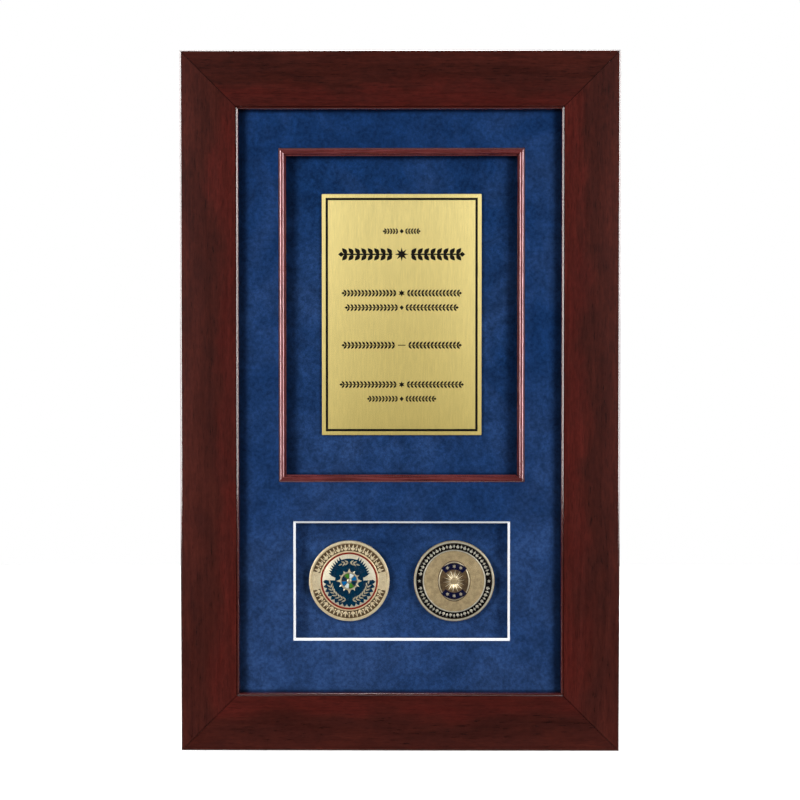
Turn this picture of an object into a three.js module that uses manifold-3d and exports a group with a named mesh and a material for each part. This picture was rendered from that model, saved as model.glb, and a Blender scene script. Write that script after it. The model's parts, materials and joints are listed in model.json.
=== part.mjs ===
// Coin display frame: a glazed shadow box with a windowed suede mat, an engraved plate and two coins.
// Millimetres, +Z up, +X to the viewer's right, and the glass faces -Y. Everything is drawn with its zero
// at the centre of the frame's front face, where y is the depth behind that face. The row's origin lies
// between the two hanging rings, so the whole group is shifted at the end.

import * as THREE from 'three';
import { mergeVertices } from 'three/addons/utils/BufferGeometryUtils.js';
import Module from 'manifold-3d';

const wasm = await Module();
wasm.setup();
const { Manifold, Mesh: ManifoldMesh } = wasm;

// ---- driving dimensions -------------------------------------------------------------------------

const outer = { width: 273.5, height: 436 };
const moulding = { face: 36.4, lip: 3.0, rabbet: 6.5, arris: 1.0, bead: 1.5, beadDrop: 0.2, quirk: 0.3 };
const mitreGap = 0.1;
const layerGap = 0.1;
const insertGap = 0.5;
// How far a cutting tool reaches past the face that it cuts through.
const overshoot = 1;

const thickness = {
  glazing: 2.0,
  mat: 2.0,
  spacer: 6.4,
  mountBoard: 2.0,
  foamBoard: 4.8,
  hardboard: 3.0,
};

// Windows in the mat: half width either side of their centre line, the heights of top and bottom, and how
// far the edge slopes in for each millimetre of depth.
const plateWindow = { halfWidth: 76.9, top: 158.4, bottom: -50.1, bevel: 0 };
const coinWindow = { halfWidth: 67.85, top: -74.7, bottom: -149.7, bevel: 0.8 };
// The windows, the plate and the coins share one centre line, a little to the right of the frame's.
const showShift = 1.0;

const fillet = { face: 4.4, crown: 1.5, flange: 4.0, flangeThickness: 1.5, fit: 0.15, steps: 8 };
const spacerSetback = 6.5;
const bevelClearance = 1;

const plate = { width: 100.6, height: 151.8, thickness: 1.0, centreZ: 54.95 };
const plateTape = { inset: 6, thickness: 0.5 };

const coin = { radius: 25.4, thickness: 3.0, rim: 1.6, recess: 0.5, edge: 0.3, x: 33.1, z: -113.05 };
const coinPad = { radius: 12, thickness: 0.8 };

const button = { reach: 17, tail: 4.5, tip: 3, thickness: 1.2, hole: 1.7, fromEdge: 22, sideZ: 75 };
const screw = { shank: 1.4, length: 12, point: 2.5, head: 3.1, headHeight: 1.7, headSide: 0.9, crown: 2.2 };
const driveSlot = { width: 0.9, depth: 0.8, reach: 1.7 };
const pilotClearance = 0.2;

const strap = { length: 20, width: 12, thickness: 1.2, hole: 1.7, holeFromEnd: 5.5, fromEdge: 2.5 };
const knuckle = { radius: 2.35, bore: 1.25, width: 8 };
const ring = { wire: 1.1, halfHeight: 8, reach: 11, corner: 2.6, z: 109, sides: 10, steps: [1, 3, 14, 3] };

const bumper = { radius: 6, thickness: 4.6, x: 100, fromEdge: 14 };
const nail = { wing: 4.2, gauge: 0.8, height: 9, setBelow: 0.8, clearance: 0.15, fromCorner: [10, 24] };

const facets = { coin: 48, screw: 14, pilot: 16, bumper: 24 };

// ---- depths and sizes worked out from them --------------------------------------------------------

const depth = { glazing: moulding.lip + layerGap };
depth.mat = depth.glazing + thickness.glazing + layerGap;
depth.spacer = depth.mat + thickness.mat + layerGap;
depth.mountBoard = depth.spacer + thickness.spacer + layerGap;
depth.foamBoard = depth.mountBoard + thickness.mountBoard + layerGap;
depth.hardboard = depth.foamBoard + thickness.foamBoard + layerGap;
depth.rear = depth.hardboard + thickness.hardboard + 2 * layerGap;
depth.hardware = depth.rear + layerGap;

const half = { x: outer.width / 2, z: outer.height / 2 };
const insertInset = moulding.face - moulding.rabbet + insertGap;
const insert = { x: half.x - insertInset, z: half.z - insertInset };
const ringDepth = depth.hardware + knuckle.radius;

// ---- materials ----------------------------------------------------------------------------------

function finish(color, roughness, metalness = 0) {
  return new THREE.MeshStandardMaterial({ color, roughness, metalness });
}

const materials = {
  mahogany: finish(0x42201a, 0.4),
  filletWood: finish(0x6e2f2e, 0.3),
  suede: finish(0x20406f, 0.95),
  foam: finish(0xe9e8e4, 0.9),
  hardboard: finish(0x6b4a30, 0.75),
  brass: finish(0xd9c57e, 0.35, 0.9),
  goldCoin: finish(0xcdb487, 0.35, 0.9),
  antiqueCoin: finish(0xb59a63, 0.4, 0.9),
  tape: finish(0xdedcd2, 0.8),
  steel: finish(0xb9b9b6, 0.4, 0.9),
  rubber: finish(0x2b2b2b, 0.85),
  glass: finish(0xf4f8f8, 0.05),
};
materials.glass.transparent = true;
materials.glass.opacity = 0.2;

// ---- solids -------------------------------------------------------------------------------------

// Turns a closed geometry into a manifold, leaving out the triangles that collapse on a lathe's axis.
function solid(geometry) {
  const bare = geometry.clone();
  bare.deleteAttribute('normal');
  bare.deleteAttribute('uv');
  const merged = mergeVertices(bare, 1e-5);
  const corners = [];
  for (let i = 0; i < merged.index.count; i += 3) {
    const [a, b, c] = merged.index.array.slice(i, i + 3);
    if (a !== b && b !== c && c !== a) corners.push(a, b, c);
  }
  const mesh = new ManifoldMesh({
    numProp: 3,
    vertProperties: new Float32Array(merged.attributes.position.array),
    triVerts: new Uint32Array(corners),
  });
  return new Manifold(mesh);
}

function geometryOf(manifold) {
  const mesh = manifold.getMesh();
  const geometry = new THREE.BufferGeometry();
  geometry.setAttribute('position', new THREE.BufferAttribute(new Float32Array(mesh.vertProperties), 3));
  geometry.setIndex(new THREE.BufferAttribute(new Uint32Array(mesh.triVerts), 1));
  geometry.computeVertexNormals();
  return geometry;
}

// A block between two corners, each given as [x, y, z].
function block(low, high) {
  const size = high.map((value, axis) => value - low[axis]);
  const centre = high.map((value, axis) => (value + low[axis]) / 2);
  const geometry = new THREE.BoxGeometry(...size);
  geometry.translate(...centre);
  return solid(geometry);
}

// An outline drawn in X and Z, thickened from depth y0 to depth y1.
function slab(shape, y0, y1) {
  const extrusion = { depth: y1 - y0, bevelEnabled: false, curveSegments: 8 };
  const geometry = new THREE.ExtrudeGeometry(shape, extrusion);
  geometry.rotateX(Math.PI / 2);
  geometry.translate(0, y1, 0);
  return solid(geometry);
}

// A round bar along Y.
function bar(x, z, radius, y0, y1, sides) {
  const geometry = new THREE.CylinderGeometry(radius, radius, y1 - y0, sides);
  geometry.translate(x, (y0 + y1) / 2, z);
  return solid(geometry);
}

// A profile of [radius, depth] points turned about the Y axis.
function turned(profile, sides) {
  const points = profile.map(([radius, y]) => new THREE.Vector2(radius, y));
  return solid(new THREE.LatheGeometry(points, sides));
}

const shadowBox = new THREE.Group();

function add(name, manifold, material, place = {}) {
  const mesh = new THREE.Mesh(geometryOf(manifold), material);
  mesh.name = name;
  mesh.position.set(place.x ?? 0, place.y ?? 0, place.z ?? 0);
  mesh.rotation.y = place.turn ?? 0;
  shadowBox.add(mesh);
}

// ---- mitred lengths -----------------------------------------------------------------------------

// The four sides of a rectangle, each with the turn that brings it round from the bottom.
function sidesOf(halfWidth, halfHeight) {
  return [
    { side: 'bottom', halfLength: halfWidth, offset: halfHeight, turn: 0 },
    { side: 'right', halfLength: halfHeight, offset: halfWidth, turn: -Math.PI / 2 },
    { side: 'top', halfLength: halfWidth, offset: halfHeight, turn: Math.PI },
    { side: 'left', halfLength: halfHeight, offset: halfWidth, turn: Math.PI / 2 },
  ];
}

// One side, swept from a section of [distance in from the outer edge, depth] points that run
// anticlockwise. Both ends are cut at 45 degrees, just short of the mitre.
function mitred(section, { halfLength, offset, turn }) {
  const count = section.length;
  const positions = [];
  for (const end of [-1, 1]) {
    for (const [inward, y] of section) {
      positions.push(end * (halfLength - inward - mitreGap / Math.SQRT2), y, inward - offset);
    }
  }
  const index = [];
  for (let i = 0; i < count; i += 1) {
    const next = (i + 1) % count;
    index.push(i, count + next, next, i, count + i, count + next);
  }
  const outline = section.map(([inward, y]) => new THREE.Vector2(inward, y));
  for (const [a, b, c] of THREE.ShapeUtils.triangulateShape(outline, [])) {
    index.push(a, b, c, count + a, count + c, count + b);
  }
  const geometry = new THREE.BufferGeometry();
  geometry.setAttribute('position', new THREE.Float32BufferAttribute(positions, 3));
  geometry.setIndex(index);
  geometry.rotateY(turn);
  return solid(geometry);
}

// Points of a half-ellipse between two distances, rising from a depth towards the front.
function halfRound(from, to, y, rise, steps) {
  const points = [];
  for (let i = 0; i <= steps; i += 1) {
    const angle = (Math.PI * i) / steps;
    const inward = (from + to) / 2 - ((to - from) / 2) * Math.cos(angle);
    points.push([inward, y - rise * Math.sin(angle)]);
  }
  return points;
}

// Points of a quarter circle that eases the outer front corner.
function easedCorner(radius, steps) {
  const points = [];
  for (let i = 0; i <= steps; i += 1) {
    const angle = ((Math.PI / 2) * i) / steps;
    points.push([radius * (1 - Math.cos(angle)), radius * (1 - Math.sin(angle))]);
  }
  return points;
}

// ---- wood frame: four mitred rails with V-nails, cut for the screws ---------------------------------

// Flat face, eased outer corner, a fine bead beyond a quirk on the sight edge, and the rabbet.
function railSection() {
  const { face, lip, rabbet, arris, bead, beadDrop, quirk } = moulding;
  const beadRise = bead / 2;
  return [
    ...easedCorner(arris, 4),
    [face - bead - quirk, 0],
    ...halfRound(face - bead, face, beadDrop + beadRise, beadRise, 6),
    [face, lip],
    [face - rabbet, lip],
    [face - rabbet, depth.rear],
    [0, depth.rear],
  ];
}

// A V-nail's outline: its fold lies on the mitre and its two wings run back towards the outer edges.
function vNailOutline(corner, along, grow) {
  const thick = nail.gauge / 2 + grow;
  const wing = nail.wing + grow;
  const outline = [
    [thick, thick],
    [-wing, thick],
    [-wing, -thick],
    [-thick, -thick],
    [-thick, -wing],
    [thick, -wing],
  ];
  const shape = new THREE.Shape();
  outline.forEach(([inX, inZ], i) => {
    const x = corner.x * (half.x - along - inX);
    const z = corner.z * (half.z - along - inZ);
    if (i === 0) shape.moveTo(x, z);
    else shape.lineTo(x, z);
  });
  shape.closePath();
  return shape;
}

const corners = [
  { label: 'top_left', x: -1, z: 1 },
  { label: 'top_right', x: 1, z: 1 },
  { label: 'bottom_right', x: 1, z: -1 },
  { label: 'bottom_left', x: -1, z: -1 },
];

// Where each turn button pivots, and the turn that points it at the backing board.
const buttonPivots = [
  { label: 'top', x: 0, z: half.z - button.fromEdge, turn: Math.PI / 2 },
  { label: 'upper_right', x: half.x - button.fromEdge, z: button.sideZ, turn: Math.PI },
  { label: 'lower_right', x: half.x - button.fromEdge, z: -button.sideZ, turn: Math.PI },
  { label: 'bottom', x: 0, z: button.fromEdge - half.z, turn: -Math.PI / 2 },
  { label: 'lower_left', x: button.fromEdge - half.x, z: -button.sideZ, turn: 0 },
  { label: 'upper_left', x: button.fromEdge - half.x, z: button.sideZ, turn: 0 },
];

const hangers = [
  { label: 'left', side: -1, turn: 0 },
  { label: 'right', side: 1, turn: Math.PI },
];
const strapScrewX = half.x - strap.fromEdge - strap.holeFromEnd;
const ringX = half.x - strap.fromEdge - strap.length;

const headDepth = depth.hardware + button.thickness + layerGap;
const screwPlaces = [
  ...buttonPivots.map(({ label, x, z }) => ({ name: `turn_button_screw_${label}`, x, z })),
  ...hangers.map(({ label, side }) => ({ name: `hanger_screw_${label}`, x: side * strapScrewX, z: ring.z })),
];

function buildFrame() {
  const cuts = [];
  for (const { x, z } of screwPlaces) {
    const low = headDepth - screw.length - pilotClearance;
    cuts.push(bar(x, z, screw.shank + pilotClearance, low, depth.rear + overshoot, facets.pilot));
  }
  const nailTop = depth.rear - nail.setBelow;
  const nailEnd = nailTop - nail.height;
  for (const corner of corners) {
    nail.fromCorner.forEach((along, i) => {
      const slotOutline = vNailOutline(corner, along, nail.clearance);
      cuts.push(slab(slotOutline, nailEnd - nail.clearance, depth.rear + overshoot));
      const place = i === 0 ? 'outer' : 'inner';
      const wedge = slab(vNailOutline(corner, along, 0), nailEnd, nailTop);
      add(`v_nail_${corner.label}_${place}`, wedge, materials.steel);
    });
  }
  const allCuts = Manifold.union(cuts);
  for (const placing of sidesOf(half.x, half.z)) {
    add(`rail_${placing.side}`, mitred(railSection(), placing).subtract(allCuts), materials.mahogany);
  }
}

// ---- the layers in the rabbet -------------------------------------------------------------------

function layer(name, y, thick, material) {
  add(name, block([-insert.x, y, -insert.z], [insert.x, y + thick, insert.z]), material);
}

// A cutting tool for one window, through a layer that starts at y.
function windowCut(window, y, thick) {
  const over = 0.5;
  const height = window.top - window.bottom;
  const geometry = new THREE.BoxGeometry(2 * window.halfWidth, thick + 2 * over, height);
  const position = geometry.attributes.position;
  for (let i = 0; i < position.count; i += 1) {
    const inset = window.bevel * (position.getY(i) > 0 ? thick + over : -over);
    position.setX(i, position.getX(i) - Math.sign(position.getX(i)) * inset);
    position.setZ(i, position.getZ(i) - Math.sign(position.getZ(i)) * inset);
  }
  geometry.translate(showShift, y + thick / 2, (window.top + window.bottom) / 2);
  return solid(geometry);
}

function buildMat() {
  const sheet = block([-insert.x, depth.mat, -insert.z], [insert.x, depth.mat + thickness.mat, insert.z]);
  const plateCut = windowCut(plateWindow, depth.mat, thickness.mat);
  const coinCut = windowCut(coinWindow, depth.mat, thickness.mat);
  add('window_mat', sheet.subtract(plateCut).subtract(coinCut), materials.suede);
}

// The fillet stands in the plate window with a round crown, and a flange glued behind the mat.
function buildFillet() {
  const front = depth.mat + layerGap;
  const flangeFront = depth.mat + thickness.mat + layerGap;
  const back = flangeFront + fillet.flangeThickness;
  const section = [
    [-fillet.flange, flangeFront],
    [fillet.fit, flangeFront],
    ...halfRound(fillet.fit, fillet.face, front + fillet.crown, fillet.crown, fillet.steps),
    [fillet.face, back],
    [-fillet.flange, back],
  ];
  const halfHeight = (plateWindow.top - plateWindow.bottom) / 2;
  const at = { x: showShift, z: (plateWindow.top + plateWindow.bottom) / 2 };
  for (const placing of sidesOf(plateWindow.halfWidth, halfHeight)) {
    add(`fillet_${placing.side}`, mitred(section, placing), materials.filletWood, at);
  }
}

// Foam strips that hold the mat off the mount board, kept back from both windows.
function buildSpacers() {
  const sideX = plateWindow.halfWidth + spacerSetback;
  const strips = {
    left: [-insert.x, -insert.z, -sideX, insert.z],
    right: [sideX, -insert.z, insert.x, insert.z],
    top: [-sideX, plateWindow.top + spacerSetback, sideX, insert.z],
    middle: [-sideX, coinWindow.top + bevelClearance, sideX, plateWindow.bottom - spacerSetback],
    bottom: [-sideX, -insert.z, sideX, coinWindow.bottom - bevelClearance],
  };
  const y = depth.spacer;
  for (const [label, [x0, z0, x1, z1]] of Object.entries(strips)) {
    const inset = label === 'left' || label === 'right' ? 0 : layerGap;
    const strip = block([x0 + inset, y, z0], [x1 - inset, y + thickness.spacer, z1]);
    add(`spacer_${label}`, strip, materials.foam);
  }
}

function buildLayers() {
  layer('glazing', depth.glazing, thickness.glazing, materials.glass);
  buildMat();
  buildFillet();
  buildSpacers();
  layer('mount_board', depth.mountBoard, thickness.mountBoard, materials.suede);
  layer('foam_backing', depth.foamBoard, thickness.foamBoard, materials.foam);
  layer('backing_board', depth.hardboard, thickness.hardboard, materials.hardboard);
}

// ---- what is on show: the plate and two coins -------------------------------------------------------

function buildPlate() {
  const tapeFront = depth.mountBoard - layerGap - plateTape.thickness;
  const plateFront = tapeFront - layerGap - plate.thickness;
  const x = plate.width / 2;
  const z = plate.height / 2;
  const tapeX = x - plateTape.inset;
  const tapeZ = z - plateTape.inset;
  const at = { x: showShift, z: plate.centreZ };
  const sheet = block([-x, plateFront, -z], [x, plateFront + plate.thickness, z]);
  const tape = block([-tapeX, tapeFront, -tapeZ], [tapeX, tapeFront + plateTape.thickness, tapeZ]);
  add('engraved_plate', sheet, materials.brass, at);
  add('plate_tape', tape, materials.tape, at);
}

function coinProfile() {
  const { radius, rim, recess, edge, thickness: thick } = coin;
  return [
    [0, recess],
    [radius - rim - edge, recess],
    [radius - rim, 0],
    [radius - edge, 0],
    [radius, edge],
    [radius, thick - edge],
    [radius - edge, thick],
    [radius - rim, thick],
    [radius - rim - edge, thick - recess],
    [0, thick - recess],
  ];
}

function buildCoins() {
  const padFront = depth.mountBoard - layerGap - coinPad.thickness;
  const coinFront = padFront - layerGap - coin.thickness + coin.recess;
  const disc = turned(coinProfile(), facets.coin);
  const pad = bar(0, 0, coinPad.radius, 0, coinPad.thickness, facets.bumper);
  for (const [label, side] of [['left', -1], ['right', 1]]) {
    const metal = side < 0 ? materials.goldCoin : materials.antiqueCoin;
    const x = showShift + side * coin.x;
    add(`coin_${label}`, disc, metal, { x, y: coinFront, z: coin.z });
    add(`coin_pad_${label}`, pad, materials.tape, { x, y: padFront, z: coin.z });
  }
}

// ---- hardware on the back -------------------------------------------------------------------------

// A pan-head screw with its head's underside at zero, the shank towards the front, and a cross slot.
function screwSolid() {
  const { shank, length, point, head, headHeight, headSide, crown } = screw;
  const body = turned(
    [
      [0, -length],
      [shank, point - length],
      [shank, 0],
      [head, 0],
      [head, headSide],
      [crown, headHeight],
      [0, headHeight],
    ],
    facets.screw,
  );
  const { reach } = driveSlot;
  const side = driveSlot.width / 2;
  const low = headHeight - driveSlot.depth;
  const high = headHeight + overshoot;
  const across = block([-reach, low, -side], [reach, high, side]);
  const upright = block([-side, low, -reach], [side, high, reach]);
  return body.subtract(across.add(upright));
}

function buildScrews() {
  const fastener = screwSolid();
  for (const { name, x, z } of screwPlaces) {
    add(name, fastener, materials.steel, { x, y: headDepth, z });
  }
}

// A turn button pointing along +X from its pivot, with a round tail and a narrower round tip.
function buttonSolid() {
  const shape = new THREE.Shape();
  const tipX = button.reach - button.tip;
  shape.absarc(0, 0, button.tail, Math.PI / 2, (3 * Math.PI) / 2, false);
  shape.absarc(tipX, 0, button.tip, -Math.PI / 2, Math.PI / 2, false);
  shape.closePath();
  const hole = bar(0, 0, button.hole, -overshoot, button.thickness + overshoot, facets.pilot);
  return slab(shape, 0, button.thickness).subtract(hole);
}

function buildTurnButtons() {
  const plain = buttonSolid();
  for (const { label, x, z, turn } of buttonPivots) {
    add(`turn_button_${label}`, plain, materials.steel, { x, y: depth.hardware, z, turn });
  }
}

// The strap's plate runs outwards from the knuckle, which is rolled round the ring's straight bar.
function strapSolid() {
  const w = strap.width / 2;
  const neck = knuckle.width / 2;
  const shoulder = -2 * knuckle.radius;
  const endX = w - strap.length;
  const shape = new THREE.Shape();
  shape.moveTo(0, -neck);
  shape.lineTo(0, neck);
  shape.lineTo(shoulder, neck);
  shape.lineTo(shoulder - (w - neck), w);
  shape.absarc(endX, 0, w, Math.PI / 2, (3 * Math.PI) / 2, false);
  shape.lineTo(shoulder - (w - neck), -w);
  shape.lineTo(shoulder, -neck);
  shape.closePath();
  const tube = (radius, length) => {
    const geometry = new THREE.CylinderGeometry(radius, radius, length, facets.pilot);
    geometry.rotateX(Math.PI / 2);
    geometry.translate(0, knuckle.radius, 0);
    return solid(geometry);
  };
  const holeX = strap.holeFromEnd - strap.length;
  const hole = bar(holeX, 0, strap.hole, -overshoot, strap.thickness + overshoot, facets.pilot);
  const rolled = slab(shape, 0, strap.thickness).add(tube(knuckle.radius, knuckle.width));
  return rolled.subtract(tube(knuckle.bore, knuckle.width + 2 * overshoot)).subtract(hole);
}

// The ring's centre line: a straight bar on the Z axis, two bends and a round end that reaches +X.
function ringPath() {
  const { halfHeight, corner, reach } = ring;
  const straight = halfHeight - corner;
  const path = new THREE.CurvePath();
  const v = (x, z) => new THREE.Vector3(x, 0, z);
  path.add(new THREE.LineCurve3(v(0, -straight), v(0, straight)));
  path.add(new THREE.QuadraticBezierCurve3(v(0, straight), v(0, halfHeight), v(corner, halfHeight)));
  const tangent = (4 / 3) * (reach - corner);
  const farTop = v(corner + tangent, halfHeight);
  const farBottom = v(corner + tangent, -halfHeight);
  path.add(new THREE.CubicBezierCurve3(v(corner, halfHeight), farTop, farBottom, v(corner, -halfHeight)));
  path.add(new THREE.QuadraticBezierCurve3(v(corner, -halfHeight), v(0, -halfHeight), v(0, -straight)));
  const points = [];
  path.curves.forEach((curve, i) => points.push(...curve.getPoints(ring.steps[i]).slice(0, -1)));
  return points;
}

// Sweeps a round wire along a flat closed path in the X-Z plane.
function wireLoop(path, radius, sides) {
  const count = path.length;
  const positions = [];
  const index = [];
  const up = new THREE.Vector3(0, 1, 0);
  path.forEach((point, i) => {
    const before = path[(i + count - 1) % count];
    const after = path[(i + 1) % count];
    const coming = point.clone().sub(before).normalize();
    const leaving = after.clone().sub(point).normalize();
    const along = leaving.add(coming).normalize();
    const outward = along.clone().cross(up);
    for (let k = 0; k < sides; k += 1) {
      const angle = (2 * Math.PI * k) / sides;
      const at = point.clone();
      at.addScaledVector(outward, radius * Math.cos(angle));
      at.addScaledVector(up, radius * Math.sin(angle));
      positions.push(at.x, at.y, at.z);
      const [a, b] = [i * sides + k, i * sides + ((k + 1) % sides)];
      const [c, d] = [((i + 1) % count) * sides + k, ((i + 1) % count) * sides + ((k + 1) % sides)];
      index.push(a, d, b, a, c, d);
    }
  });
  const geometry = new THREE.BufferGeometry();
  geometry.setAttribute('position', new THREE.Float32BufferAttribute(positions, 3));
  geometry.setIndex(index);
  return solid(geometry);
}

function buildHangers() {
  const strapShape = strapSolid();
  const ringShape = wireLoop(ringPath(), ring.wire, ring.sides);
  for (const { label, side, turn } of hangers) {
    const x = side * ringX;
    add(`hanger_strap_${label}`, strapShape, materials.steel, { x, y: depth.hardware, z: ring.z, turn });
    add(`hanging_ring_${label}`, ringShape, materials.steel, { x, y: ringDepth, z: ring.z, turn });
  }
}

function buildBumpers() {
  const pad = bar(0, 0, bumper.radius, 0, bumper.thickness, facets.bumper);
  const z = bumper.fromEdge - half.z;
  add('bumper_left', pad, materials.rubber, { x: -bumper.x, y: depth.hardware, z });
  add('bumper_right', pad, materials.rubber, { x: bumper.x, y: depth.hardware, z });
}

// ---- assembly -----------------------------------------------------------------------------------

buildFrame();
buildLayers();
buildPlate();
buildCoins();
buildScrews();
buildTurnButtons();
buildHangers();
buildBumpers();

shadowBox.position.set(0, -ringDepth, -ring.z);
const row = new THREE.Group();
row.add(shadowBox);

export default row;
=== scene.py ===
"""Coin display frame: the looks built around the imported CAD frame.

Metres, +Z up, +X to the viewer's right, and the glass faces -Y. Sizes written in millimetres are
multiplied by MM. Every place is worked out from the CAD nodes' boxes.
"""

import json
import math

import bmesh
import bpy
from mathutils import Matrix, Vector


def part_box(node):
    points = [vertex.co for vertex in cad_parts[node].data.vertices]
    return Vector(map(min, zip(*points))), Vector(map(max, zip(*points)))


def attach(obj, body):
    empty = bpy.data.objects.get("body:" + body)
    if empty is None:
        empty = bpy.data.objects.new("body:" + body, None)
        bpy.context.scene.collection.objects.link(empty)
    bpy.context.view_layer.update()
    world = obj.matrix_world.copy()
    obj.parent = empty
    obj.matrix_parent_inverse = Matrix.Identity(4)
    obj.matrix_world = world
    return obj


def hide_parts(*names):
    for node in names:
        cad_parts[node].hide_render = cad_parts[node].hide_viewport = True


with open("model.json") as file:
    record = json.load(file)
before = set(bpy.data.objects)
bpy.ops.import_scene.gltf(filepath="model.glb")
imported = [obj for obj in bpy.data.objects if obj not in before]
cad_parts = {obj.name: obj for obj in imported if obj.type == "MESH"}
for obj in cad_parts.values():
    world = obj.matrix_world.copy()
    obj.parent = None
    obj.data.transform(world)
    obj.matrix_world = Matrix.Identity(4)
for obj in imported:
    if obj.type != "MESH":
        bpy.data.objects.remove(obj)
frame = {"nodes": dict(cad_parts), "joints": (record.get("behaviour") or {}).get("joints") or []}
bpy.context.view_layer.update()
NODES = frame["nodes"]
MM = 0.001
TURN = 2 * math.pi
SHARP_ANGLE = math.radians(32)
COIN_SEGMENTS = 144

# ---- places taken from the frame ----


class Place:
    """A CAD node's box, with the few measures that the looks need."""

    def __init__(self, node):
        self.low, self.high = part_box(node)
        self.centre = (self.low + self.high) / 2
        self.size = self.high - self.low
        self.front = self.low.y
        self.back = self.high.y


GLAZING = Place("glazing")
MAT = Place("window_mat")
PLATE = Place("engraved_plate")
RAIL = Place("rail_left")
FILLET = Place("fillet_left")

HALF_W = Place("rail_right").high.x
TOP_Z = Place("rail_top").high.z
BOTTOM_Z = Place("rail_bottom").low.z
HALF_H = (TOP_Z - BOTTOM_Z) / 2
CENTRE_Z = (TOP_Z + BOTTOM_Z) / 2
FACE = RAIL.size.x
FRONT = RAIL.front
REAR = RAIL.back
MITRE_GAP = 0.1 * MM
MITRE_CHAMFER = 0.05 * MM
FILLET_FACE = 4.4 * MM
FILLET_FLANGE = 4.0 * MM
COIN_WINDOW_HALF_WIDTH = 67.85 * MM
COIN_WINDOW_BOTTOM = CENTRE_Z - 149.7 * MM
COIN_WINDOW_TOP = CENTRE_Z - 74.7 * MM

# The frame's sight opening and the mat's two windows, as (left, right, bottom, top).
SIGHT = (FACE - HALF_W, HALF_W - FACE, BOTTOM_Z + FACE, TOP_Z - FACE)
PLATE_WINDOW = (
    FILLET.low.x + FILLET_FLANGE,
    Place("fillet_right").high.x - FILLET_FLANGE,
    Place("fillet_bottom").low.z + FILLET_FLANGE,
    Place("fillet_top").high.z - FILLET_FLANGE,
)
COIN_WINDOW = (
    PLATE.centre.x - COIN_WINDOW_HALF_WIDTH,
    PLATE.centre.x + COIN_WINDOW_HALF_WIDTH,
    COIN_WINDOW_BOTTOM,
    COIN_WINDOW_TOP,
)
JOINTS = {joint["child"]: joint for joint in frame["joints"]}


# ---- meshes ----


class Solids:
    """Closed solids gathered into one mesh."""

    def __init__(self):
        self.verts = []
        self.faces = []

    def add(self, verts, faces):
        start = len(self.verts)
        self.verts += verts
        self.faces += [[start + i for i in face] for face in faces]

    def mesh(self, name):
        mesh = bpy.data.meshes.new(name)
        mesh.from_pydata(self.verts, [], self.faces)
        mesh.update()
        return mesh


def link(name, data):
    obj = bpy.data.objects.new(name, data)
    bpy.context.scene.collection.objects.link(obj)
    return obj


def show(name, mesh, materials, replaces=(), body="frame"):
    """Puts a finished mesh in the scene, riding on a body and standing for its CAD nodes."""
    obj = link(name, mesh)
    mesh.shade_smooth()
    mesh.set_sharp_from_angle(angle=SHARP_ANGLE)
    for material in materials:
        mesh.materials.append(material)
    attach(obj, body)
    if replaces:
        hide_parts(*replaces)


def quad_rings(count, ring_a, ring_b):
    """Quads between two rings of count points, from the index of each ring's first point."""
    faces = []
    for i in range(count):
        j = (i + 1) % count
        faces.append([ring_a + i, ring_a + j, ring_b + j, ring_b + i])
    return faces


def inset(outline, amount):
    """Moves an anticlockwise outline inwards along its corner normals."""
    shifted = []
    count = len(outline)
    sharpest = 0.35
    for i, (x, z) in enumerate(outline):
        before = Vector((x - outline[i - 1][0], z - outline[i - 1][1])).normalized()
        after = Vector((outline[(i + 1) % count][0] - x, outline[(i + 1) % count][1] - z)).normalized()
        normal = Vector((-before.y - after.y, before.x + after.x))
        reach = max(1 + before.dot(after), sharpest)
        shifted.append((x + normal.x / reach * amount, z + normal.y / reach * amount))
    return shifted


def prism(outline, back, front, bevel=0.0):
    """An outline of (x, z) points thickened between two depths, with its front edge rounded."""
    count = len(outline)
    steps = 2
    rings = [(outline, back), (outline, front + bevel)]
    for step in range(1, steps + 1) if bevel else ():
        angle = math.pi / 2 * step / steps
        rings.append((inset(outline, bevel * (1 - math.cos(angle))), front + bevel * (1 - math.sin(angle))))
    verts = [(x, y, z) for ring, y in rings for x, z in ring]
    faces = [list(range(count - 1, -1, -1))]
    for k in range(len(rings) - 1):
        faces += quad_rings(count, k * count, (k + 1) * count)
    faces.append(list(range((len(rings) - 1) * count, len(rings) * count)))
    return verts, faces


def lathe(profile, centre, segments, closed=False):
    """A profile of (radius, y) turned about Y, from the front's axis out and round to the back's.

    A closed profile is a ring's section, which stays clear of the axis and joins up with its start.
    """
    cx, cz = centre
    verts = []
    rings = []
    for radius, y in profile:
        if radius == 0:
            rings.append([len(verts)] * segments)
            verts.append((cx, y, cz))
            continue
        rings.append(list(range(len(verts), len(verts) + segments)))
        for k in range(segments):
            angle = TURN * k / segments
            verts.append((cx + radius * math.cos(angle), y, cz + radius * math.sin(angle)))
    if closed:
        rings.append(rings[0])
    faces = []
    for inner, outer in zip(rings, rings[1:]):
        for k in range(segments):
            j = (k + 1) % segments
            face = [inner[k], outer[k], outer[j], inner[j]]
            faces.append(list(dict.fromkeys(face)))
    return verts, faces


def ring_solid(r0, r1, back, front, centre, bevel):
    """A flat ring between two radii, with both of its front edges rounded."""
    soft = bevel * 0.3
    profile = [
        (r0, back),
        (r0, front + bevel),
        (r0 + soft, front + soft),
        (r0 + bevel, front),
        (r1 - bevel, front),
        (r1 - soft, front + soft),
        (r1, front + bevel),
        (r1, back),
    ]
    return lathe(profile, centre, COIN_SEGMENTS, closed=True)


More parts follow.
